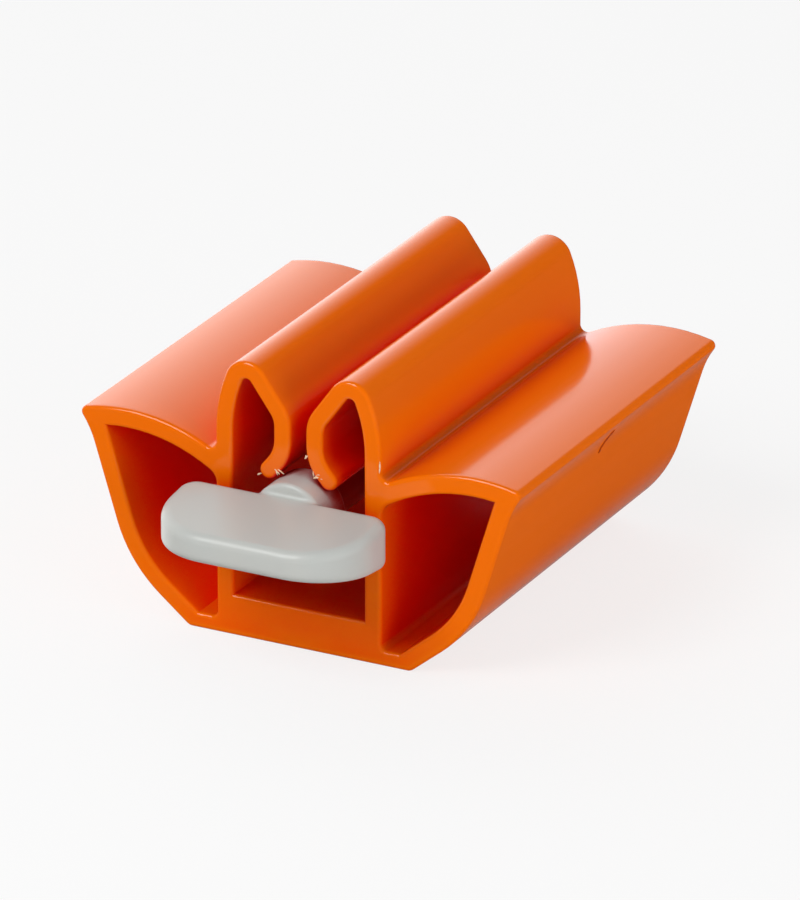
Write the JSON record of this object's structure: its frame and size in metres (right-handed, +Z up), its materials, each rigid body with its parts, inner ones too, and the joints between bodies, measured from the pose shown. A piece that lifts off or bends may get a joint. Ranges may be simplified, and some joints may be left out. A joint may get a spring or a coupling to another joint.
{
  "type": "spring clamp with winding key",
  "caption": "Hull-shaped standing clamp whose sprung jaws grip a flat edge, with a winged key that winds it up below them.",
  "frame": {"origin": "middle of the flat base that the clamp stands on", "axes": "+Z up, out of the jaws; +Y along the extrusion, away from the key's wing; +X to the right, seen from the wing"},
  "size_m": [0.06, 0.0703, 0.0365],
  "materials": {
    "body_plastic": "smooth glossy extrusion, orange all through, sawn end faces",
    "key_plastic": "smooth satin moulding, light warm grey"
  },
  "bodies": {
    "clamp_body": {"clamp_body": "body_plastic"},
    "left_jaw": {"left_jaw": "body_plastic"},
    "right_jaw": {"right_jaw": "body_plastic"},
    "turn_key": {"turn_key": "key_plastic"}
  },
  "joints": [
    {"name": "left_jaw_flex", "type": "hinge", "parent": "clamp_body", "child": "left_jaw", "pos_m": [-0.00705, 0, 0.0335], "axis": [0, 1, 0], "range_deg": [0, 9], "stiffness_Nm_per_rad": 0.6},
    {"name": "right_jaw_flex", "type": "hinge", "parent": "clamp_body", "child": "right_jaw", "pos_m": [0.00705, 0, 0.0335], "axis": [0, -1, 0], "range_deg": [0, 9], "stiffness_Nm_per_rad": 0.6},
    {"name": "key_turn", "type": "hinge", "parent": "clamp_body", "child": "turn_key", "pos_m": [0, -0.0275, 0.01784], "axis": [0, 1, 0], "continuous": true}
  ]
}
